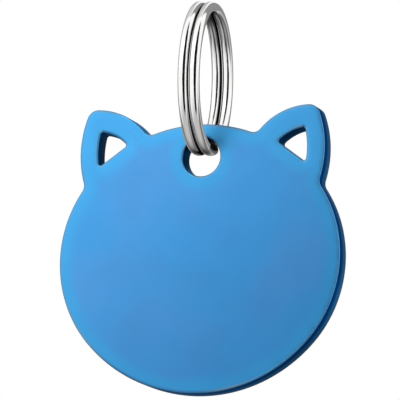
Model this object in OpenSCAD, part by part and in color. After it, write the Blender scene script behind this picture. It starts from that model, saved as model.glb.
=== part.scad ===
// Pet id tag: a cat-head plate, stamped from sheet aluminium and anodised, hanging on a split ring.
// It hangs as it does from a collar. The origin is where the collar's own ring bears, at the inner
// top of the split ring. +Z is up and the front of the tag looks along -Y.

/* [Plate] */
// Width of the head, without the ears
head_w = 28.4; // [27:0.1:30]
// Height of the head, from its lowest point to the crown between the ears
head_h = 26.3; // [25.6:0.1:26.8]
// Radius of the arcs at the two sides of the head
head_side_r = 12.3; // [11.6:0.1:12.6]
// Thickness of the plate
plate_t = 2.3; // [1.5:0.1:2.5]
// Width of the broken edge all round both faces
edge_break = 0.15; // [0.05:0.05:0.3]

/* [Ears] */
// How far the outer side of an ear sits in from the widest point of the head
ear_inset = 1.78; // [1.4:0.02:2.2]
// How far the top of an ear stands above the crown of the head
ear_rise = 1.7; // [1.2:0.1:2.4]
// Radius of the ear's outer side
ear_side_r = 10.4; // [9.4:0.1:11.4]
// Radius of the ear's upper edge
ear_top_r = 6.6; // [6.2:0.1:7]
// Radius of the ear's tip
ear_tip_r = 1.15; // [0.8:0.05:1.5]
// Radius of the hollow between the ear and the side of the head
ear_notch_r = 1; // [0.6:0.1:1.4]
// Radius of the hollow between the ear and the crown
crown_notch_r = 0.9; // [0.6:0.1:1.2]
// Level of the ear's widest point above the middle of the head, of half the head's height
ear_level_share = 0.802; // [0.78:0.002:0.82]
// Place of the ear's highest point, of half the head's width
ear_peak_share = 0.764; // [0.75:0.002:0.78]

/* [Ear windows] */
// Wall between the window and the ear's outer side
window_side_wall = 1.8; // [1.4:0.1:2.2]
// Wall between the window and the ear's upper edge
window_top_wall = 2.2; // [1.8:0.1:2.6]
// Radius of the window's corners
window_corner_r = 0.25; // [0.15:0.05:0.35]
// Slope of the window's lower edge, downwards to the outside
window_slope = 36; // [32:1:40]
// How far the window's lower edge lies above the centre of the ear's upper arc, square to that edge
window_sill_rise = 0.55; // [0.4:0.05:0.8]

/* [Ring hole] */
// Bore of the hole that the split ring passes through
hole_d = 3.8; // [3.4:0.1:4.2]
// Distance of the hole's centre below the crown of the head
hole_drop = 3.2; // [2.8:0.1:3.6]

/* [Split ring] */
// Inside diameter of the split ring
ring_bore_d = 12.8; // [11.8:0.1:13.8]
// Size of the ring's wire from its inner to its outer face
wire_h = 1.2; // [1:0.05:1.4]
// Size of the wire along the ring's axis
wire_w = 0.86; // [0.7:0.02:0.9]
// Gap between the two turns
turn_gap = 0.42; // [0.41:0.01:0.5]
// Radius of the wire's rounded corners
wire_edge_r = 0.2; // [0.1:0.01:0.28]
// Angle that the ring stands turned about the vertical in the hole
ring_turn = 4; // [0:1:6]
// Place of the crossing from one turn to the other, from the ring's lowest point to the back
crossing_angle = 34; // [30:1:60]
// Length of the crossing round the ring
crossing_span = 28; // [24:1:34]
// Least play between the wire and the wall of the hole
ring_play = 0.05; // [0.04:0.01:0.1]

/* [Colours] */
// Anodised blue of the plate
plate_colour = "#4799d9"; // [#4799d9, #3f88c8, #5aa8e2]
// Nickel plate of the split ring
ring_colour = "#c9cbce"; // [#c9cbce, #b4b6b9]

/* [Hidden] */

// Facets of a full circle, steps of a corner of the wire, of one turn and of the crossing, and the
// longest step in degrees along the arcs of a window
facets = 180;
corner_steps = 2;
turn_steps = 66;
crossing_steps = 10;
arc_step = 5;

// Overrun of every cut past the face that it cuts
overrun = 0.5;
// Depth that a fillet's web reaches into the two shapes that it joins
web_bite = 0.8;
// How far each arc of an outline reaches past the arc that it runs into, so that the two cross
lap = 0.003;

// The head is an oval of four arcs, with its middle at [0, 0] of the plate's own plane.
// The two long arcs touch the side arcs, which sets their radius.
head_a = head_w / 2;
head_b = head_h / 2;
side_x = head_a - head_side_r;
head_long_r = (side_x * side_x + head_b * head_b - head_side_r * head_side_r) / (2 * (head_b - head_side_r));
long_y = head_long_r - head_b;
touch_x = side_x + head_side_r * side_x / (head_long_r - head_side_r);

// Centres of the two arcs of the right ear
ear_side_c = [head_a - ear_inset - ear_side_r, head_b * ear_level_share];
ear_top_c = [head_a * ear_peak_share, head_b + ear_rise - ear_top_r];

// Where two circles meet: the meeting that lies further along the direction way
function meet(c1, r1, c2, r2, way) =
    let (
        d = c2 - c1,
        gap = norm(d),
        along = (r1 * r1 - r2 * r2 + gap * gap) / (2 * gap),
        aside = sqrt(max(0, r1 * r1 - along * along)),
        u = d / gap,
        side = [-u.y, u.x]
    )
    c1 + along * u + aside * side * sign(side * way);

// Where a circle meets a line whose normal is n at distance d: the meeting further along way
function meet_line(c, r, n, d, way) =
    let (
        off = d - c * n,
        aside = sqrt(max(0, r * r - off * off)),
        t = [n.y, -n.x]
    )
    c + off * n + aside * t * sign(t * way);

function unit(v) = v / norm(v);

// Centres of the tip's arc and of the two fillets
tip_c = meet(ear_top_c, ear_top_r - ear_tip_r, ear_side_c, ear_side_r - ear_tip_r, [0, 1]);
notch_c = meet([side_x, 0], head_side_r + ear_notch_r, ear_side_c, ear_side_r + ear_notch_r, [1, 0]);
crown_c = meet([0, -long_y], head_long_r + crown_notch_r, ear_top_c, ear_top_r + crown_notch_r, [0, 1]);

// The window follows the ear's two arcs at the width of its walls, and has a straight lower edge
window_side_r = ear_side_r - window_side_wall;
window_top_r = ear_top_r - window_top_wall;
sill_n = [sin(window_slope), cos(window_slope)];
sill_d = ear_top_c * sill_n + window_sill_rise;
window_tip_c = meet(ear_top_c, window_top_r - window_corner_r,
    ear_side_c, window_side_r - window_corner_r, [0, 1]);
window_low_c = meet_line(ear_side_c, window_side_r - window_corner_r, sill_n, sill_d + window_corner_r, [1, 0]);
window_inner_c = meet_line(ear_top_c, window_top_r - window_corner_r, sill_n, sill_d + window_corner_r, [-1, 0]);

// The ring's two turns, and how far its centre hangs above the hole's. The rounded inner corners
// of the two turns bear on the hole's wall where that wall ends, at the broken edges.
turn_pitch = wire_w + turn_gap;
bundle_w = turn_pitch + wire_w;
ring_bore_r = ring_bore_d / 2;
wire_r = ring_bore_r + wire_h / 2;
bear_y = plate_t / 2 - edge_break;
bear_x = (bundle_w / 2 - wire_edge_r) * cos(ring_turn) + bear_y * sin(ring_turn);
bear_r = hole_d / 2 - wire_edge_r - ring_play;
hang = sqrt(ring_bore_r * ring_bore_r - bear_y * bear_y) + wire_edge_r + sqrt(bear_r * bear_r - bear_x * bear_x);
ring_z = -ring_bore_r;
hole_z = ring_z - hang;
head_z = hole_z + hole_drop - head_b;

$fn = facets;

// A disc of the plate's thickness with both edges broken
module disc(r) {
    rotate_extrude()
        polygon([
            [0, -plate_t / 2],
            [r - edge_break, -plate_t / 2],
            [r, -plate_t / 2 + edge_break],
            [r, plate_t / 2 - edge_break],
            [r - edge_break, plate_t / 2],
            [0, plate_t / 2]
        ]);
}

// The tool that cuts a round opening and breaks its edges at both faces
module disc_cut(r) {
    flare = edge_break + overrun;
    rotate_extrude()
        polygon([
            [0, -plate_t / 2 - overrun],
            [r + flare, -plate_t / 2 - overrun],
            [r, -plate_t / 2 + edge_break],
            [r, plate_t / 2 - edge_break],
            [r + flare, plate_t / 2 + overrun],
            [0, plate_t / 2 + overrun]
        ]);
}

// A wedge round the arc of a corner, from inside that arc outwards, between the directions u and v
module wedge(c, r, u, v, reach, height) {
    linear_extrude(height, center = true)
        polygon([c + r / 2 * u, c + reach * u, c + reach * (u + v), c + reach * v, c + r / 2 * v]);
}

// The web that fills the hollow between two shapes, up to the fillet's arc round c
module fillet(c, r, toward_1, toward_2) {
    reach = r + web_bite;
    difference() {
        linear_extrude(plate_t, center = true)
            polygon([c, c + reach * unit(toward_1 - c), c + reach * unit(toward_2 - c)]);
        translate(c)
            disc_cut(r + lap);
    }
}

// The oval of the head
module head() {
    intersection() {
        translate([0, -long_y])
            disc(head_long_r);
        translate([0, long_y])
            disc(head_long_r);
        cube([2 * touch_x, 2 * head_h, 2 * plate_t], center = true);
    }
    for (s = [-1, 1])
        translate([s * side_x, 0])
            disc(head_side_r + lap);
}

// The right ear, rooted inside the head, with its two fillets
module ear() {
    difference() {
        intersection() {
            translate(ear_top_c)
                disc(ear_top_r);
            translate(ear_side_c)
                disc(ear_side_r);
        }
        wedge(tip_c, ear_tip_r, unit(tip_c - ear_top_c), unit(tip_c - ear_side_c), ear_top_r, 2 * plate_t);
    }
    translate(tip_c)
        disc(ear_tip_r + lap);
    fillet(notch_c, ear_notch_r, [side_x, 0], ear_side_c);
    fillet(crown_c, crown_notch_r, [0, -long_y], ear_top_c);
}

// Direction of v as an angle that is no less than the angle after
function turned(v, after) =
    let (a = atan2(v.y, v.x))
    a < after ? a + 360 : a;

// Points along an arc from angle a1 to a2, with both its ends or with neither
function arc(c, r, a1, a2, ends = true) =
    let (n = max(2, ceil((a2 - a1) / arc_step)))
    [for (k = ends ? [0:n] : [1:n - 1]) c + r * [cos(a1 + (a2 - a1) * k / n), sin(a1 + (a2 - a1) * k / n)]];

// Outline of the right ear's window, widened by e all round, counter-clockwise from its lower edge
function window_outline(e) =
    let (
        r = window_corner_r + e,
        sill_a = -90 - window_slope,
        low_a = turned(window_low_c - ear_side_c, sill_a),
        side_a = turned(window_tip_c - ear_side_c, low_a),
        top_a = turned(window_tip_c - ear_top_c, side_a),
        inner_a = turned(window_inner_c - ear_top_c, top_a)
    )
    [
        each arc(window_low_c, r, sill_a, low_a),
        each arc(ear_side_c, window_side_r + e, low_a, side_a, false),
        each arc(window_tip_c, r, side_a, top_a),
        each arc(ear_top_c, window_top_r + e, top_a, inner_a, false),
        each arc(window_inner_c, r, inner_a, sill_a + 360)
    ];

// The tool that cuts the right ear's window and breaks its edges at both faces
module window_cut() {
    wide = window_outline(edge_break + overrun);
    narrow = window_outline(0);
    n = len(wide);
    top = plate_t / 2 + overrun;
    shoulder = plate_t / 2 - edge_break;
    polyhedron(
        points = [
            for (p = wide) [p.x, p.y, -top],
            for (p = narrow) [p.x, p.y, -shoulder],
            for (p = narrow) [p.x, p.y, shoulder],
            for (p = wide) [p.x, p.y, top]
        ],
        faces = [
            [for (j = [0:n - 1]) j],
            [for (j = [0:n - 1]) 4 * n - 1 - j],
            for (k = [0:2], j = [0:n - 1])
                let (a = k * n + j, b = k * n + (j + 1) % n)
                each [[a, a + n, b + n], [a, b + n, b]]
        ]
    );
}

// The cat-head plate, upright, with its front towards -Y
module tag_plate() {
    color(plate_colour)
        translate([0, 0, head_z])
            rotate([90, 0, 0])
                difference() {
                    union() {
                        head();
                        ear();
                        mirror([1, 0, 0])
                            ear();
                    }
                    window_cut();
                    mirror([1, 0, 0])
                        window_cut();
                    translate([0, head_b - hole_drop])
                        disc_cut(hole_d / 2);
                }
}

// Section of the wire as [place along the radius, place along the axis], from its own middle
wire_section = [
    for (q = [[1, -1, -90], [1, 1, 0], [-1, 1, 90], [-1, -1, 180]], k = [0:corner_steps])
        let (a = q[2] + 90 * k / corner_steps)
        [
            q[0] * (wire_h / 2 - wire_edge_r) + wire_edge_r * cos(a),
            q[1] * (wire_w / 2 - wire_edge_r) + wire_edge_r * sin(a)
        ]
];

// The wire's middle line, from the free end of the first turn, once round, over the crossing and
// once round again. Angles run from the ring's lowest point to the back, up and over to the front.
turn_start = crossing_angle + crossing_span / 2;
turn_span = 360 - crossing_span;
stations = [
    for (k = [0:turn_steps])
        [turn_start + turn_span * k / turn_steps, -turn_pitch / 2],
    for (k = [1:crossing_steps - 1])
        let (t = k / crossing_steps)
        [turn_start + turn_span + crossing_span * t, -turn_pitch / 2 * cos(180 * t)],
    for (k = [0:turn_steps])
        [turn_start + 360 + turn_span * k / turn_steps, turn_pitch / 2]
];

// Points of the wire's surface round its middle line at one station, [angle, place along the axis]
function wire_ring(s) = [
    for (p = wire_section)
        [(wire_r + p.x) * cos(s[0]), (wire_r + p.x) * sin(s[0]), s[1] + p.y]
];
wire_rings = [for (s = stations) wire_ring(s)];

// The wire as one unbroken tube, with a flat face at each free end
module wire() {
    n = len(wire_section);
    last = (len(wire_rings) - 1) * n;
    polyhedron(
        points = [for (r = wire_rings) each r],
        faces = [
            for (j = [1:n - 2]) [0, j + 1, j],
            for (j = [1:n - 2]) [last, last + j, last + j + 1],
            for (k = [0:len(wire_rings) - 2], j = [0:n - 1])
                let (a = k * n + j, b = k * n + (j + 1) % n)
                each [[a, b, a + n], [b, b + n, a + n]]
        ]
    );
}

// The split ring: one spring wire in two turns side by side
module split_ring() {
    color(ring_colour)
        translate([0, 0, ring_z])
            rotate([0, 0, ring_turn])
                rotate([0, 90, 0])
                    wire();
}

// Least gap of the wire to itself, over the points of its surface: each station against those
// about one turn further on, and the two free ends against the crossing beside them
one_turn = turn_steps + crossing_steps;
least_gap = min([
    for (k = [0:len(wire_rings) - 1], m = [k + one_turn - 2:k + one_turn + 2])
        if (m < len(wire_rings))
            for (p = wire_rings[k], q = wire_rings[m]) norm(p - q),
    for (k = [turn_steps + 1:one_turn], p = wire_rings[k])
        min([
            for (q = wire_rings[0]) k > turn_steps + crossing_steps / 2 ? norm(p - q) : wire_r,
            for (q = wire_rings[len(wire_rings) - 1]) k < turn_steps + crossing_steps / 2 ? norm(p - q) : wire_r
        ])
]);
echo(least_gap_of_the_wire_to_itself_mm = least_gap);

tag_plate();
split_ring();
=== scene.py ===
import math

import bmesh
import bpy
import numpy as np
from mathutils import Matrix, Vector
from mathutils.geometry import delaunay_2d_cdt


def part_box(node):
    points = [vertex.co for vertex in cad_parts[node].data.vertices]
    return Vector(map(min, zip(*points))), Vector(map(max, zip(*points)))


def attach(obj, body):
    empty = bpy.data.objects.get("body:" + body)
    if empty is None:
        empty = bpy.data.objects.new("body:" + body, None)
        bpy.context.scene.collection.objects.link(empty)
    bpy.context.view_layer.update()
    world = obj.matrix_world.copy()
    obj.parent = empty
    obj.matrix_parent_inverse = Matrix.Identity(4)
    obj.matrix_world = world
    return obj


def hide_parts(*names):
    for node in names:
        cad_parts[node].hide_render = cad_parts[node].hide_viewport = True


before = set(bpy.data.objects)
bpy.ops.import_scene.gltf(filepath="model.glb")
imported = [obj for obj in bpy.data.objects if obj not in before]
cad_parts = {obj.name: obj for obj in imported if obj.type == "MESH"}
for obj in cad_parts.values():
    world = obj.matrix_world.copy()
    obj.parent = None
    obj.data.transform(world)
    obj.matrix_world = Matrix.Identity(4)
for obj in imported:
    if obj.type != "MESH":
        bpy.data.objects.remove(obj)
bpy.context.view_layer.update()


# The tag plate: a cat's head about 28 mm across, blanked from 2.3 mm aluminium sheet with both ear
# windows and the ring hole punched through. Its edges are tumbled soft, and it is etched satin and
# anodised blue. It hangs from the split ring by the hole under its crown.

MM = 0.001    # sizes are in millimetres and angles in degrees, unless a comment says otherwise

head_w = 28.4             # without the ears
head_h = 26.3             # from the lowest point to the crown between the ears
head_side_r = 12.3        # arcs at the two sides of the head
plate_t = 2.3             # the sheet
ear_inset = 1.78          # from the widest point of the head in to the ear's outer side
ear_rise = 1.7            # from the crown up to the top of the ear
ear_side_r = 10.4         # the ear's outer side
ear_top_r = 6.6           # the ear's upper edge
ear_tip_r = 1.15
ear_notch_r = 1.0         # the hollow between the ear and the side of the head
crown_notch_r = 0.9       # the hollow between the ear and the crown
ear_level = 0.802         # height of the ear's widest point, of half the head's height
ear_peak = 0.764          # place of the ear's highest point, of half the head's width
window_side_wall = 1.8    # metal left between the window and the ear's outer side
window_top_wall = 2.2     # metal left between the window and the ear's upper edge
window_corner_r = 0.25
window_slope = 36         # fall of the window's sill, towards the outside
window_sill_rise = 0.55   # from the centre of the ear's upper arc to the sill
hole_r = 1.9
hole_drop = 3.2           # from the crown down to the middle of the hole
edge_r = 0.15             # rounding of every edge, left by tumbling
roll_over = 0.012         # how far the sheet is drawn down at a blanked edge
roll_width = 1.3          # how far in from the edge that reaches

# degrees between two points of an arc: the long arcs, the ear's upper edge, the small arcs and the
# hole, and then the window's side, its top and its corners
long_step, ear_top_step, small_step, hole_step = 1.5, 2, 6, 5
window_side_step, window_top_step, window_corner_step = 2, 3, 15
fewest_steps = 3
same_point = 1e-6

head_a, head_b = head_w / 2, head_h / 2
tag_low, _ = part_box("tag_plate")
head_z = tag_low.z / MM + head_b
side_x = head_a - head_side_r
long_r = (side_x**2 + head_b**2 - head_side_r**2) / (2 * (head_b - head_side_r))
long_y = long_r - head_b
ear_side_c = np.array([head_a - ear_inset - ear_side_r, head_b * ear_level])
ear_top_c = np.array([head_a * ear_peak, head_b + ear_rise - ear_top_r])


def meet(c1, r1, c2, r2, way):
    """Where two circles meet, the meeting that lies further along the direction way."""
    d = np.subtract(c2, c1)
    gap = np.hypot(*d)
    along = (r1 * r1 - r2 * r2 + gap * gap) / (2 * gap)
    aside = math.sqrt(max(0.0, r1 * r1 - along * along))
    u = d / gap
    side = np.array([-u[1], u[0]])
    return np.array(c1) + along * u + aside * side * np.sign(side @ way)


def meet_line(c, r, n, d, way):
    """Where a circle meets the straight line with normal n at distance d."""
    off = d - c @ n
    t = np.array([n[1], -n[0]])
    return c + off * n + math.sqrt(r * r - off * off) * t * np.sign(t @ way)


def bearing(centre, point):
    """The direction of a point from a centre, in degrees anticlockwise from the right."""
    return math.degrees(math.atan2(point[1] - centre[1], point[0] - centre[0]))


def outline(arcs, inset):
    """A closed outline from its arcs, drawn in by inset. Hollow arcs grow as it is drawn in."""
    points = []
    for c, r, start, end, sign, step in arcs:
        n = max(fewest_steps, math.ceil(abs(end - start) / step))
        a = np.radians(np.linspace(start, end, n + 1))
        part = np.array(c) + (r - sign * inset) * np.column_stack([np.cos(a), np.sin(a)])
        if points and np.hypot(*(part[0] - points[-1])) < same_point:
            part = part[1:]
        points.extend(part)
    if np.hypot(*(points[0] - points[-1])) < same_point:
        points.pop()
    return np.array(points)


def mirrored(arcs):
    """The same arcs on the other side of the middle line, still anticlockwise."""
    return [
        ((-c[0], c[1]), r, 180 - end, 180 - start, sign, step)
        for c, r, start, end, sign, step in arcs[::-1]
    ]


# Each arc: its centre, radius, first and last bearing, 1 or -1 for a hollow one, and its step.
low_c, high_c, side_c = (0, long_y), (0, -long_y), (side_x, 0)
tip_c = meet(ear_top_c, ear_top_r - ear_tip_r, ear_side_c, ear_side_r - ear_tip_r, [0, 1])
notch_c = meet(side_c, head_side_r + ear_notch_r, ear_side_c, ear_side_r + ear_notch_r, [1, 0])
crown_c = meet(high_c, long_r + crown_notch_r, ear_top_c, ear_top_r + crown_notch_r, [0, 1])
low_end, side_end = bearing(low_c, side_c), bearing(side_c, notch_c)
notch_start, notch_end = bearing(notch_c, side_c) + 360, bearing(notch_c, ear_side_c)
ear_start, ear_end = bearing(ear_side_c, notch_c), bearing(ear_side_c, tip_c)
top_start, top_end = bearing(ear_top_c, tip_c), bearing(ear_top_c, crown_c)
crown_start, crown_end = bearing(crown_c, ear_top_c), bearing(crown_c, high_c)
right_half = [
    (low_c, long_r, -90, low_end, 1, long_step),
    (side_c, head_side_r, low_end, side_end, 1, long_step),
    (notch_c, ear_notch_r, notch_start, notch_end, -1, small_step),
    (ear_side_c, ear_side_r, ear_start, ear_end, 1, long_step),
    (tip_c, ear_tip_r, ear_end, top_start, 1, small_step),
    (ear_top_c, ear_top_r, top_start, top_end, 1, ear_top_step),
    (crown_c, crown_notch_r, crown_start, crown_end, -1, small_step),
    (high_c, long_r, bearing(high_c, crown_c), 90, 1, long_step),
]
head_arcs = right_half + mirrored(right_half)

# the window: the ear's own arcs further in, a straight sill, and a small arc at each corner
side_r, top_r = ear_side_r - window_side_wall, ear_top_r - window_top_wall
inner_side_r, inner_top_r = side_r - window_corner_r, top_r - window_corner_r
sill_n = np.array([math.sin(math.radians(window_slope)), math.cos(math.radians(window_slope))])
sill_d = ear_top_c @ sill_n + window_sill_rise + window_corner_r
high_corner = meet(ear_top_c, inner_top_r, ear_side_c, inner_side_r, [0, 1])
low_corner = meet_line(ear_side_c, inner_side_r, sill_n, sill_d, [1, 0])
inner_corner = meet_line(ear_top_c, inner_top_r, sill_n, sill_d, [-1, 0])
sill_a = -90 - window_slope
side_start, side_stop = bearing(ear_side_c, low_corner), bearing(ear_side_c, high_corner)
upper_start, upper_stop = bearing(ear_top_c, high_corner), bearing(ear_top_c, inner_corner)
right_window = [
    (low_corner, window_corner_r, sill_a, side_start, 1, window_corner_step),
    (ear_side_c, side_r, side_start, side_stop, 1, window_side_step),
    (high_corner, window_corner_r, side_stop, upper_start, 1, window_corner_step),
    (ear_top_c, top_r, upper_start, upper_stop, 1, window_top_step),
    (inner_corner, window_corner_r, upper_stop, sill_a + 360, 1, window_corner_step),
]
ring_hole = [((0, head_b - hole_drop), hole_r, 0, 360, 1, hole_step)]
# each edge of the plate: its arcs, and 1 where the metal lies inside them or -1 where outside
edges = [(head_arcs, 1), (right_window, -1), (mirrored(right_window), -1), (ring_hole, -1)]
rims = [outline(arcs, side * edge_r) for arcs, side in edges]    # where each face ends


def distance_to(points, loop):
    """Distance of each point to a closed outline."""
    a, b = loop, np.roll(loop, -1, axis=0)
    ab = b - a
    t = np.einsum("pij,ij->pi", points[:, None] - a, ab) / np.einsum("ij,ij->i", ab, ab)
    offsets = points[:, None] - a - np.clip(t, 0, 1)[..., None] * ab
    return np.sqrt((offsets**2).sum(-1)).min(1)


def inside(points, loop):
    """Which points lie inside a closed outline."""
    x, y = points[:, 0, None], points[:, 1, None]
    (x1, y1), (x2, y2) = loop.T, np.roll(loop, -1, axis=0).T
    climb = np.where(y2 == y1, 1e-12, y2 - y1)    # never quite level
    crossed = ((y1 > y) != (y2 > y)) & (x < (x2 - x1) * (y - y1) / climb + x1)
    return crossed.sum(1) % 2 == 1


def in_metal(points):
    """Which points lie within the head and outside every opening."""
    kept = inside(points, rims[0])
    for rim in rims[1:]:
        kept &= ~inside(points, rim)
    return kept


def depth_from_rim(points):
    """Distance of each point to the nearest rim."""
    return np.min([distance_to(points, rim) for rim in rims], axis=0)


# the two faces: a grid of points, joined to the points along every rim
spacing, least_depth, margin = 0.3, 0.45, 1    # the second is a share of the spacing
gx, gy = np.meshgrid(
    np.arange(-head_a, head_a + spacing, spacing),
    np.arange(-head_b, head_b + ear_rise + margin, spacing * math.sqrt(3) / 2),
)
gx[::2] += spacing / 2
grid = np.column_stack([gx.ravel(), gy.ravel()])
grid = grid[in_metal(grid)]
grid = grid[depth_from_rim(grid) > spacing * least_depth]

flat, borders = [], []
for rim in rims:
    first = len(flat)
    borders += [(first + i, first + (i + 1) % len(rim)) for i in range(len(rim))]
    flat.extend(rim)
flat = [Vector(p) for p in flat + list(grid)]
nearest_points = 1e-7
flat_points, _, triangles, _, _, _ = delaunay_2d_cdt(flat, borders, [], 0, nearest_points)
flat_points = np.array([tuple(p) for p in flat_points])
middles = np.array([flat_points[list(f)].mean(0) for f in triangles])
triangles = [list(f) for f, kept in zip(triangles, in_metal(middles)) if kept]
depth_in = depth_from_rim(flat_points)
drawn_down = roll_over * np.clip(1 - depth_in / roll_width, 0, 1) ** 2
# which way the nearest edge faces, out of the metal
faces_out = [(outline(arcs, 0) - rim) / edge_r for (arcs, _), rim in zip(edges, rims)]
to_rims = ((flat_points[:, None] - np.concatenate(rims)) ** 2).sum(-1)
flat_out = np.concatenate(faces_out)[np.argmin(to_rims, axis=1)]

# edge_mm is each point's depth in from the rim. It falls below 0 round the edge, and the walls
# have a mark of their own.
points, faces, edge_mm, facing = [], [], [], []
for way in (-1, 1):    # front, then back
    start = len(points)
    points += [(x, way * (plate_t / 2 - d), z) for (x, z), d in zip(flat_points, drawn_down)]
    edge_mm += list(depth_in)
    facing += list(flat_out)
    faces += [[start + i for i in (f if way < 0 else f[::-1])] for f in triangles]

round_steps = 5
outer_wall, opening_wall = -1.0, -2.0
for (arcs, side), ways_out in zip(edges, faces_out):
    levels = []    # from the front face over its edge, across the wall and over the back edge
    for way in (-1, 1):
        for k in range(round_steps + 1):
            turned = k if way < 0 else round_steps - k
            a = math.pi / 2 * turned / round_steps
            mark = -edge_r * math.sin(a)
            if turned == round_steps:
                mark = outer_wall if side > 0 else opening_wall
            y = way * (plate_t / 2 - roll_over - edge_r * (1 - math.cos(a)))
            levels.append((outline(arcs, side * edge_r * (1 - math.sin(a))), y, mark))
    n = len(ways_out)
    start = len(points)
    for level, y, mark in levels:
        points += [(x, y, z) for x, z in level]
        edge_mm += [mark] * n
        facing += list(ways_out)
    for k in range(len(levels) - 1):
        for j in range(n):
            a, b = start + k * n + j, start + k * n + (j + 1) % n
            faces.append([a, b, b + n, a + n][::-side])


def mark_points(mesh, name, values):
    """One number for each point of a mesh, for its material to read."""
    mark = mesh.attributes.new(name, "FLOAT", "POINT")
    mark.data.foreach_set("value", np.array(values, np.float32))


def put_in_scene(name, data):
    """A new object for a mesh, a lamp or a camera."""
    made = bpy.data.objects.new(name, data)
    bpy.context.scene.collection.objects.link(made)
    return made


tag_mesh = bpy.data.meshes.new("anodised_tag")
tag_mesh.from_pydata(((np.array(points) + [0, 0, head_z]) * MM).tolist(), [], faces)
mark_points(tag_mesh, "edge_mm", edge_mm)
facing = np.insert(np.array(facing, np.float32), 1, 0, axis=1)
facing_mark = tag_mesh.attributes.new("facing", "FLOAT_VECTOR", "POINT")
facing_mark.data.foreach_set("vector", facing.ravel())
uv = tag_mesh.uv_layers.new(name="UVMap")
uv_span = 32
for loop in tag_mesh.loops:
    p = tag_mesh.vertices[loop.vertex_index].co / MM
    uv.data[loop.index].uv = (0.5 + p.x / uv_span, 0.5 + (p.z - head_z) / uv_span)
tag = put_in_scene("anodised_tag", tag_mesh)
tag.modifiers.new("weld", "WELD").merge_threshold = 2e-7    # metres
bpy.context.view_layer.objects.active = tag
bpy.ops.object.modifier_apply(modifier="weld")
tag.data.shade_smooth()
tag.modifiers.new("even_shading", "WEIGHTED_NORMAL").weight = 80


# The finishes are built from the steps below. Each adds to the nodes and links in hand.
def add(kind, **values):
    """A shader node with its settings, and its input values by name."""
    node = nodes.new(kind)
    for name, value in values.items():
        if name in node.inputs:
            node.inputs[name].default_value = value
        else:
            setattr(node, name, value)
    return node


def rise(value, start, end, low=0.0, high=1.0):
    """A smooth change from low to high as value goes from start to end."""
    ramp = add("ShaderNodeMapRange", interpolation_type="SMOOTHSTEP")
    for name, number in {"From Min": start, "From Max": end, "To Min": low, "To Max": high}.items():
        ramp.inputs[name].default_value = number
    links.new(value, ramp.inputs["Value"])
    return ramp.outputs["Result"]


def fall(value, start, end):
    """A smooth change from 1 to 0 as value goes from start to end."""
    return rise(value, start, end, 1.0, 0.0)


def fill(socket, value):
    """Gives a socket a number, a colour or the output of another node."""
    if isinstance(value, tuple):
        socket.default_value = (*value, 1)
    elif isinstance(value, float):
        socket.default_value = value
    else:
        links.new(value, socket)


def tint(factor, under, over, blend_type="MIX"):
    """One colour over another."""
    mix = add("ShaderNodeMix", data_type="RGBA", blend_type=blend_type)
    links.new(factor, mix.inputs[0])
    fill(mix.inputs[6], under)
    fill(mix.inputs[7], over)
    return mix.outputs[2]


def work_out(operation, a, b=0.0):
    """A sum done by a node."""
    made = add("ShaderNodeMath", operation=operation)
    fill(made.inputs[0], a)
    fill(made.inputs[1], b)
    return made.outputs[0]


def times(a, b):
    return work_out("MULTIPLY", a, b)


def grain(scale, detail):
    """Soft cloudy noise fixed to the piece, scale being about how many clouds go to a metre."""
    made = add("ShaderNodeTexNoise", Scale=scale, Detail=detail)
    links.new(place.outputs["Object"], made.inputs["Vector"])
    return made.outputs["Fac"]


def new_finish(name):
    """An empty material, with its nodes and links and its shader."""
    material = bpy.data.materials.new(name)
    material.use_nodes = True
    made = material.node_tree
    return material, made.nodes, made.links, made.nodes["Principled BSDF"]


anodised, nodes, links, surface = new_finish("satin_blue_anodising")
surface.inputs["Metallic"].default_value = 1.0
glancing_blue = (0.14, 0.38, 0.66, 1)
surface.inputs["Specular Tint"].default_value = glancing_blue
from_rim = add("ShaderNodeAttribute", attribute_name="edge_mm").outputs["Fac"]
outward = add("ShaderNodeAttribute", attribute_name="facing").outputs["Vector"]
place = add("ShaderNodeTexCoord")

# the open face: large faint clouds in the dye, more violet in places and duller in others
open_blue = (0.074, 0.370, 0.800)
violet_cloud, dull_cloud = (0.100, 0.366, 0.790), (0.068, 0.318, 0.700)
clouds = tint(rise(grain(105.0, 2.0), 0.35, 0.65), open_blue, violet_cloud)
clouds = tint(rise(grain(210.0, 1.0), 0.40, 0.75, high=0.35), clouds, dull_cloud)
# the blue is greener along every edge, with faint lighter lines that follow the outline
border_blue, line_blue = (0.071, 0.410, 0.825), (0.088, 0.470, 0.930)
in_border = fall(from_rim, 0.45, 1.75)
tone = tint(in_border, clouds, border_blue)
line_rate = 21.0    # radians to a millimetre, which sets the lines 0.3 mm apart
lines = work_out("SINE", times(from_rim, line_rate))
patches = rise(grain(230.0, 1.0), 0.40, 0.60, high=0.5)
tone = tint(times(times(lines, patches), in_border), tone, line_blue)
# painted shade: the blue darkens across the face, from its upper left to its lower right, as the
# light falls off
slant_way, painted_falloff_shade = (0.6, 0, -0.8), (0.64, 0.73, 0.77)
slant = add("ShaderNodeVectorMath", operation="DOT_PRODUCT")
slant.inputs[1].default_value = slant_way
links.new(place.outputs["Object"], slant.inputs[0])
painted_falloff_mask = rise(slant.outputs["Value"], 0.006, 0.034)    # metres along the slant
tone = tint(painted_falloff_mask, tone, painted_falloff_shade, blend_type="MULTIPLY")
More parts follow.
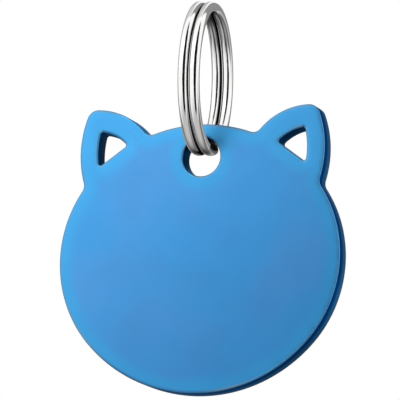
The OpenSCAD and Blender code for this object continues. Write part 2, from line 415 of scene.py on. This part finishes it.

# the soft edge, with light and shade painted by the way it faces: a painted highlight of lighter
# blue where it faces right, painted shade of dull slate blue where it faces left or up, and painted
# shade of deep blue where it faces down
out_parts = add("ShaderNodeSeparateXYZ")
links.new(outward, out_parts.inputs[0])
out_x, out_z = out_parts.outputs["X"], out_parts.outputs["Z"]
to_right, to_left = rise(out_x, 0.25, 0.5), fall(out_x, 0.25, 0.5)
to_foot = times(rise(out_z, -0.6, -0.9), fall(out_x, 0.0, 0.25))
painted_edge_shade, painted_underside_shade = (0.140, 0.335, 0.530), (0.045, 0.190, 0.400)
painted_edge_highlight = (0.128, 0.540, 0.940)
painted_dark_edge_line = times(rise(from_rim, 0.18, 0.0), to_left)
tone = tint(painted_dark_edge_line, tone, tint(to_foot, painted_edge_shade, painted_underside_shade))
painted_edge_highlight_line = times(rise(from_rim, 0.06, -0.01), to_right)
tone = tint(painted_edge_highlight_line, tone, painted_edge_highlight)
# further round, where it turns over into the wall: darker painted shade where it faces left, up or
# down, and a mid blue painted light where it faces right
painted_turned_edge_shade, painted_turned_underside_shade = (0.080, 0.210, 0.380), (0.020, 0.110, 0.260)
painted_turned_edge_light = (0.085, 0.330, 0.720)
painted_turned_edge = tint(to_right, tint(to_foot, painted_turned_edge_shade, painted_turned_underside_shade), painted_turned_edge_light)
tone = tint(rise(from_rim, -0.06, -0.11), tone, painted_turned_edge)

# the blanked wall: a burnished dark band by the front face, then the paler broken metal, both
# painted darker and greyer in the punched openings as painted shade
burnished, broken = (0.008, 0.105, 0.330), (0.120, 0.300, 0.560)
burnished_in_painted_shade, broken_in_painted_shade = (0.006, 0.085, 0.200), (0.070, 0.100, 0.140)
across_sheet = add("ShaderNodeSeparateXYZ")
links.new(place.outputs["Object"], across_sheet.inputs[0])
to_back = rise(across_sheet.outputs["Y"], -0.0006, 0.0004)    # metres from the sheet's middle
wall, opening_painted_shade = tint(to_back, burnished, broken), tint(to_back, burnished_in_painted_shade, broken_in_painted_shade)
wall = tint(rise(from_rim, -1.2, -1.8), wall, opening_painted_shade)
# painted light: a greyer, lighter wall where it faces up and to the right, towards the light
painted_lit_wall = (0.110, 0.260, 0.400)
to_top_right = times(rise(out_z, 0.60, 0.80), rise(out_x, 0.1, 0.3))
wall = tint(to_top_right, wall, painted_lit_wall)
tone = tint(rise(from_rim, -0.12, -0.3), tone, wall)
links.new(tone, surface.inputs["Base Color"])

# satin etch: a fine even grain, with slightly glossier and duller places
dull = rise(grain(330.0, 3.0), 0.3, 0.7, low=0.378, high=0.402)
links.new(dull, surface.inputs["Roughness"])
etch = add("ShaderNodeBump", Strength=0.12, Distance=0.00002)
links.new(grain(5200.0, 2.0), etch.inputs["Height"])
links.new(etch.outputs["Normal"], surface.inputs["Normal"])

tag.data.materials.append(anodised)
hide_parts("tag_plate")
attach(tag, "tag")
# Real nickel would mirror this blue. The photographed ring shows none of it, so reflections leave
# the tag out.
tag.visible_glossy = False


# The split ring: one length of hard spring wire with rounded faces, wound into two turns that lie
# side by side and plated with bright nickel. The wire crosses from one turn to the other behind
# the tag, between its two free ends.

ring_bore_r = 6.44
wire_h = 1.08            # from the ring's inside to its outside
wire_w = 1.03            # along the ring's axis
turn_gap = 0.08          # between the two turns
outer_power = 2.35       # shape of the wire's outer half: 2 is an oval, and more is squarer
inner_power = 2.0        # the same for its inner half
crossing_angle = 34      # from the foot of the ring round to the back
crossing_span = 28
ring_turn = 4.4          # how far the ring is turned about the vertical
ring_lean = 1.45         # how far its top leans to the right
ring_middle = Vector((-0.035, -0.3, -6.42))    # a little forward and to the left in the hole
end_rows = [(0.0, 0.86), (0.02, 0.95), (0.07, 1.0)]    # depth into the wire and share of its size
turn_rows, crossing_rows, around = 166, 24, 40

wire_mid_r = ring_bore_r + wire_h / 2
pitch = wire_w + turn_gap
turn_start, turn_span = crossing_angle + crossing_span / 2, 360 - crossing_span
# along the wire: degrees round from the foot, and the place along the ring's axis, for one turn,
# the crossing and the other turn
stations = [(turn_start + turn_span * k / turn_rows, -pitch / 2) for k in range(turn_rows + 1)]
for k in range(1, crossing_rows):
    a = turn_start + turn_span + crossing_span * k / crossing_rows
    stations.append((a, -pitch / 2 * math.cos(math.pi * k / crossing_rows)))
for k in range(turn_rows + 1):
    stations.append((turn_start + 360 + turn_span * k / turn_rows, pitch / 2))

# the ends are cut square and lightly dressed
mm_per_degree = math.pi * wire_mid_r / 180
(first_a, first_x), (last_a, last_x) = stations[0], stations[-1]
rows = (
    [(first_a + d / mm_per_degree, first_x, share) for d, share in end_rows]
    + [(a, turn_x, 1.0) for a, turn_x in stations[2:-2]]
    + [(last_a - d / mm_per_degree, last_x, share) for d, share in end_rows[::-1]]
)
# round the wire: the place from its inside to its outside, and along the ring's axis
section = []
for k in range(around):
    a = 2 * math.pi * k / around
    c, s = math.cos(a), math.sin(a)
    power = 2 / (outer_power if c > 0 else inner_power)
    r, x = math.copysign(abs(c) ** power, c), math.copysign(abs(s) ** power, s)
    section.append((wire_h / 2 * r, wire_w / 2 * x))
section = np.array(section)

# Painted shade where the wire lies in the tag's hole: how far forwards or back it reaches, over what
# length it fades out, and how dark it is. First under the middle of the wire, then on its sides
# and inside, in front of the tag's middle and behind it.
under_painted_shade, front_painted_shade, back_painted_shade = (2.8, 1.6, 0.92), (1.7, 0.5, 1.0), (4.4, 1.2, 1.0)
middle_share = 0.3                    # of the wire's width to each side, counted as its middle
painted_lit_rim, rim_rate = 0.5, 3       # painted light: how much less painted shade there is at the lower right rim
# Painted shade inside the top of the ring, as the height where it starts, 1 being the top, over what
# height it
# grows, and how dark it is: the broad painted shade, and a narrow painted dark reflection along the
# wire.
top_painted_shade, line_painted_reflection = (0.80, 0.15, 0.80), (0.35, 0.30, 0.90)
line_place, line_width = 0.25, 0.2    # across the wire, of half its width
# The broad painted shade thins out from left to right: where it would end, over what length it
# thins, and the least that is left.
thin_end, thin_over, thin_least = 0.15, 0.3, 0.1


def up_to_one(value):
    """A number kept between 0 and 1."""
    return min(1, max(0, value))


def painted_shade_inside_top(height, start, over, most):
    """How dark the painted shade inside the top of the ring is at some height."""
    return up_to_one((height - start) / over) * most


def painted_dark_at(r, x, turn_x, angle, y):
    """How dark the wire is painted for shade and dark reflections, from 0 to 1. r and x are the
    place in its section, turn_x is the place of its turn along the ring's axis, angle is the way
    round from the foot, and y is how far the point is behind the tag's middle."""
    if abs(x) <= middle_share * wire_w and r >= 0:
        reach, over, most = under_painted_shade
    else:
        reach, over, most = front_painted_shade if y < 0 else back_painted_shade
    if turn_x > 0 and r > 0 and x > 0:
        most -= painted_lit_rim * min(1, x / wire_w * rim_rate) * min(1, r / wire_h * rim_rate)
    height = -math.cos(angle)
    in_hole = most * up_to_one((reach - abs(y)) / over) if height < 0 else 0
    if r >= 0:
        return in_hole
    broad = painted_shade_inside_top(height, *top_painted_shade)
    broad *= min(1, max(thin_least, (thin_end - turn_x - x) / thin_over))
    line = painted_shade_inside_top(height, *line_painted_reflection)
    line *= math.exp(-(((x / wire_w * 2 - line_place) / line_width) ** 2))
    return max(in_hole, broad, line)


inner_groove = 0.55      # inside the ring the painted shade in the groove is about twice as wide
clear_of_groove = 1.0    # for the crossing, which has no turn beside it
turn_it = Matrix.Rotation(math.radians(ring_turn), 3, "Z")
lean_it = Matrix.Rotation(math.radians(ring_lean), 3, "Y")
wire_points, groove_mm, painted_dark = [], [], []
for a, turn_x, share in rows:
    angle = math.radians(a)
    crossing = pitch / 2 - abs(turn_x) > 0.01
    for r, x in section * share:
        radius = wire_mid_r + r
        p = Vector((turn_x + x, radius * math.sin(angle), -radius * math.cos(angle)))
        p = lean_it @ turn_it @ p + ring_middle
        wire_points.append(p * MM)
        to_groove = abs(turn_x + x) * (1.0 if r > 0 else inner_groove)
        groove_mm.append(clear_of_groove if crossing else to_groove)
        painted_dark.append(painted_dark_at(r, x, turn_x, angle, p.y))
last_row = (len(rows) - 1) * around
wire_faces = [list(range(around)), list(range(last_row, last_row + around))[::-1]]
for start in range(0, last_row, around):
    for k in range(around):
        a, b = start + k, start + (k + 1) % around
        wire_faces.append([a, a + around, b + around, b])
ring_mesh = bpy.data.meshes.new("nickel_split_ring")
ring_mesh.from_pydata(wire_points, [], wire_faces)
ring_mesh.shade_smooth()
mark_points(ring_mesh, "groove_mm", groove_mm)
# the painted shade and dark reflections of the wire, kept on its points for the material
mark_points(ring_mesh, "painted_dark", painted_dark)
uv = ring_mesh.uv_layers.new(name="UVMap")
for loop in ring_mesh.loops:
    row, k = divmod(loop.vertex_index, around)
    # up one side of the wire and down the other, so that no seam shows
    uv.data[loop.index].uv = (row / (len(rows) - 1), abs(2 * k / around - 1))
ring = put_in_scene("nickel_split_ring", ring_mesh)

nickel, nodes, links, surface = new_finish("bright_nickel")
surface.inputs["Metallic"].default_value = 1.0
from_groove = add("ShaderNodeAttribute", attribute_name="groove_mm").outputs["Fac"]
painted_dark_mark = add("ShaderNodeAttribute", attribute_name="painted_dark").outputs["Fac"]
place = add("ShaderNodeTexCoord")
# faint lines along the wire, left by drawing it through the die
lines_along, lines_across = 60, 17
stretch = add("ShaderNodeVectorMath", operation="MULTIPLY")
stretch.inputs[1].default_value = (lines_along, lines_across, 1)
links.new(place.outputs["UV"], stretch.inputs[0])
drawn_lines = add("ShaderNodeTexNoise", Scale=1.0, Detail=3.0, Roughness=0.55)
links.new(stretch.outputs[0], drawn_lines.inputs["Vector"])
drawn = drawn_lines.outputs["Fac"]
# bright plate, a little duller in places, with painted shade down in the groove, and the painted
# shade and dark reflections where the wire lies in the hole and inside its top
bright, duller, dull_line = (0.975, 0.972, 0.965), (0.930, 0.926, 0.918), (0.80, 0.80, 0.795)
painted_groove_shade, painted_dark_black = (0.035, 0.035, 0.037), (0.015, 0.015, 0.016)
plain_glance, painted_dark_glance = (1.0, 1.0, 1.0), (0.14, 0.14, 0.145)
plate = tint(rise(grain(420.0, 2.0), 0.35, 0.7), bright, duller)
plate = tint(rise(drawn, 0.55, 0.75, high=0.25), plate, dull_line)
plate = tint(fall(from_groove, 0.06, 0.17), plate, painted_groove_shade)
plate = tint(rise(painted_dark_mark, 0.0, 1.0), plate, painted_dark_black)
links.new(plate, surface.inputs["Base Color"])
# the blackest painted shade is matt, and its glancing reflection is tinted dark, so it stays dark
# even where the light only grazes it
glance = tint(rise(painted_dark_mark, 0.92, 1.0), plain_glance, painted_dark_glance)
links.new(glance, surface.inputs["Specular Tint"])
dull = rise(drawn, 0.3, 0.75, low=0.035, high=0.09)
matt = rise(painted_dark_mark, 0.92, 1.0, high=0.4)
links.new(work_out("ADD", dull, matt), surface.inputs["Roughness"])
die_lines = add("ShaderNodeBump", Strength=0.10, Distance=0.00003)
links.new(drawn, die_lines.inputs["Height"])
links.new(die_lines.outputs["Normal"], surface.inputs["Normal"])

ring.data.materials.append(nickel)
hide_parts("split_ring")
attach(ring, "ring")


# The studio: a pale floor well below the hanging tag, a plain white world and two soft lamps.
# Bright metal needs something to draw its edges with: a tent of white cloth, grey behind, with the
# dark slot that the camera looks through. Only reflections see it.

world = bpy.data.worlds.new("white_studio")
bpy.context.scene.world = world
world.use_nodes = True
nodes, links = world.node_tree.nodes, world.node_tree.links
white, light_level = (1, 1, 1, 1), 1.0
light = nodes["Background"]
light.inputs["Color"].default_value = white
light.inputs["Strength"].default_value = light_level
# what the camera, bright metal and glass see of the world stays white at any level of its light
backdrop = add("ShaderNodeBackground", Color=white, Strength=1.0)
path = add("ShaderNodeLightPath")
seen = work_out("MAXIMUM", path.outputs["Is Camera Ray"], path.outputs["Is Glossy Ray"])
seen = work_out("MAXIMUM", seen, path.outputs["Is Transmission Ray"])
choose = add("ShaderNodeMixShader")
links.new(seen, choose.inputs[0])
links.new(light.outputs[0], choose.inputs[1])
links.new(backdrop.outputs[0], choose.inputs[2])
links.new(choose.outputs[0], nodes["World Output"].inputs["Surface"])

floor_half, floor_z = 3, -0.25    # metres
square = [(-1, -1), (1, -1), (1, 1), (-1, 1)]
corners = [(x * floor_half, y * floor_half, floor_z) for x, y in square]
floor_mesh = bpy.data.meshes.new("floor")
floor_mesh.from_pydata(corners, [], [[0, 1, 2, 3]])
floor = put_in_scene("floor", floor_mesh)
floor_paint, nodes, links, surface = new_finish("pale_floor")
surface.inputs["Base Color"].default_value = (0.9, 0.9, 0.9, 1)
surface.inputs["Roughness"].default_value = 0.9
floor.data.materials.append(floor_paint)

tent_r, tent_middle = 0.22, Vector((0, 0, -0.015))    # metres
tent_mesh = bpy.data.meshes.new("light_tent")
ball = bmesh.new()
bmesh.ops.create_uvsphere(ball, u_segments=96, v_segments=48, radius=tent_r)
bmesh.ops.translate(ball, verts=ball.verts, vec=tent_middle)
ball.to_mesh(tent_mesh)
ball.free()
tent = put_in_scene("light_tent", tent_mesh)
tent.visible_camera = tent.visible_diffuse = tent.visible_shadow = False

cloth, nodes, links, surface = new_finish("tent_cloth")
nodes.remove(surface)
glow = add("ShaderNodeEmission", Strength=1.0)
links.new(glow.outputs[0], nodes["Material Output"].inputs["Surface"])
where = add("ShaderNodeNewGeometry")
from_middle = add("ShaderNodeVectorMath", operation="SUBTRACT")
from_middle.inputs[1].default_value = tent_middle
links.new(where.outputs["Position"], from_middle.inputs[0])
unit = add("ShaderNodeVectorMath", operation="NORMALIZE")
links.new(from_middle.outputs[0], unit.inputs[0])
unit_parts = add("ShaderNodeSeparateXYZ")
links.new(unit.outputs[0], unit_parts.inputs[0])
in_degrees = 180 / math.pi
# degrees up from level, and degrees round from the front to the right
height = times(work_out("ARCSINE", unit_parts.outputs["Z"]), in_degrees)
to_front = times(unit_parts.outputs["Y"], -1.0)
round_right = times(work_out("ARCTAN2", unit_parts.outputs["X"], to_front), in_degrees)


def band(value, low, high, soft):
    """1 from low to high, fading to 0 over soft on each side."""
    return times(rise(value, low - soft, low + soft), fall(value, high - soft, high + soft))


def by_height(stops):
    """Grey levels of the cloth by height, from (degrees, level) pairs."""
    level = add("ShaderNodeFloatCurve")
    curve = level.mapping.curves[0]
    stops = [((degrees + 180) / 360, grey) for degrees, grey in stops]
    curve.points[0].location, curve.points[1].location = stops[0], stops[-1]
    for x, grey in stops[1:-1]:
        curve.points.new(x, grey)
    for point in curve.points:
        point.handle_type = "VECTOR"
    level.mapping.update()
    links.new(times(work_out("ADD", height, 180.0), 1 / 360), level.inputs["Value"])
    return level.outputs["Value"]


def blend(factor, under, over):
    """One grey level over another."""
    mix = add("ShaderNodeMix", data_type="FLOAT")
    links.new(factor, mix.inputs[0])
    fill(mix.inputs[2], under)
    fill(mix.inputs[3], over)
    return mix.outputs[0]


def screen(under, grey, sides, soft_sides, ends, soft_ends):
    """The cloth with a grey screen over it. Its two sides, its lower and upper end and how soft
    they are come in degrees."""
    across = band(round_right, *sides, soft_sides)
    return blend(times(across, band(height, *ends, soft_ends)), under, grey)


front_cloth = by_height([(-90, 0.55), (-65, 0.52), (-40, 0.80), (-22, 1.0), (90, 1.0)])
back_cloth = by_height([
    (-90, 0.55), (-64, 0.50), (-46, 0.28), (-36, 0.16), (-22, 0.14), (-9, 0.55), (0, 0.8),
    (12, 1.0), (90, 1.0),
])
left_grey = by_height([(-90, 0.15), (10, 0.15), (40, 0.50), (90, 0.8)])
level = blend(band(round_right, -90.0, 90.0, 4.0), back_cloth, front_cloth)
# behind to the right, behind to the left, low behind, and last the slot for the camera
level = screen(level, 0.27, sides=(134.0, 185.0), soft_sides=4.0, ends=(-4.0, 95.0), soft_ends=4.0)
level = screen(
    level, left_grey, sides=(-162.0, -100.0), soft_sides=4.0, ends=(-4.0, 95.0), soft_ends=4.0
)
level = screen(level, 0.15, sides=(-185.0, -160.0), soft_sides=2.0, ends=(-4.0, 13.0), soft_ends=2.0)
level = screen(level, 0.01, sides=(-3.0, 46.0), soft_sides=1.0, ends=(-60.0, 78.0), soft_ends=8.0)
links.new(level, glow.inputs["Color"])
tent.data.materials.append(cloth)

lit_point = Vector((0, 0, -0.02))    # metres


def lamp(name, right, up, distance, size, watts, casts):
    """A square soft lamp, placed in degrees to the right of the front and up, and in metres."""
    data = bpy.data.lights.new(name, "AREA")
    data.shape, data.size, data.energy, data.use_shadow = "SQUARE", size, watts, casts
    made = put_in_scene(name, data)
    a, e = math.radians(right), math.radians(up)
    d = Vector((math.sin(a) * math.cos(e), -math.cos(a) * math.cos(e), math.sin(e)))
    made.location = lit_point + d * distance
    made.rotation_mode = "QUATERNION"
    made.rotation_quaternion = d.to_track_quat("Z", "Y")


# the key lamp casts no shadow, because the photograph shows none of the ring on the tag
lamp("key_softbox", right=-34, up=34, distance=0.11, size=0.08, watts=0.012, casts=False)
lamp("overhead_softbox", right=-20, up=70, distance=0.7, size=0.5, watts=0.3, casts=True)


# The camera: a long lens a little below the tag and to its right, as the photograph was taken. It
# is aimed so that the head lies where it does in the photograph.

yaw, pitch_up, roll = math.radians(17.98), math.radians(8.48), math.radians(-1.65)
picture_px, sensor_mm = 400, 36
distance, px_per_mm = 462.9, 10.34    # millimetres from the middle of the head, and the scale there
across, down = 1.9, 60.1              # pixels from the middle of the picture to that of the head
right = Vector((math.cos(yaw), math.sin(yaw), 0))
level_back = Vector((math.sin(yaw), -math.cos(yaw), 0))
back = level_back * math.cos(pitch_up) - Vector((0, 0, math.sin(pitch_up)))
up = back.cross(right)
up = up * math.cos(roll) + right * math.sin(roll)
right = up.cross(back)
place_at = Vector((0, 0, head_z)) + distance * back
back = (back + (right * across - up * down) / (px_per_mm * distance)).normalized()
up = (up - back * up.dot(back)).normalized()
right = up.cross(back)
camera_data = bpy.data.cameras.new("camera")
camera_data.sensor_width = sensor_mm
camera_data.lens = sensor_mm * px_per_mm * distance / picture_px
camera = put_in_scene("camera", camera_data)
camera.matrix_world = (
    Matrix.Translation(place_at * MM) @ Matrix((right, up, back)).transposed().to_4x4()
)
bpy.context.scene.camera = camera
bpy.context.scene.view_settings.view_transform = "Standard"
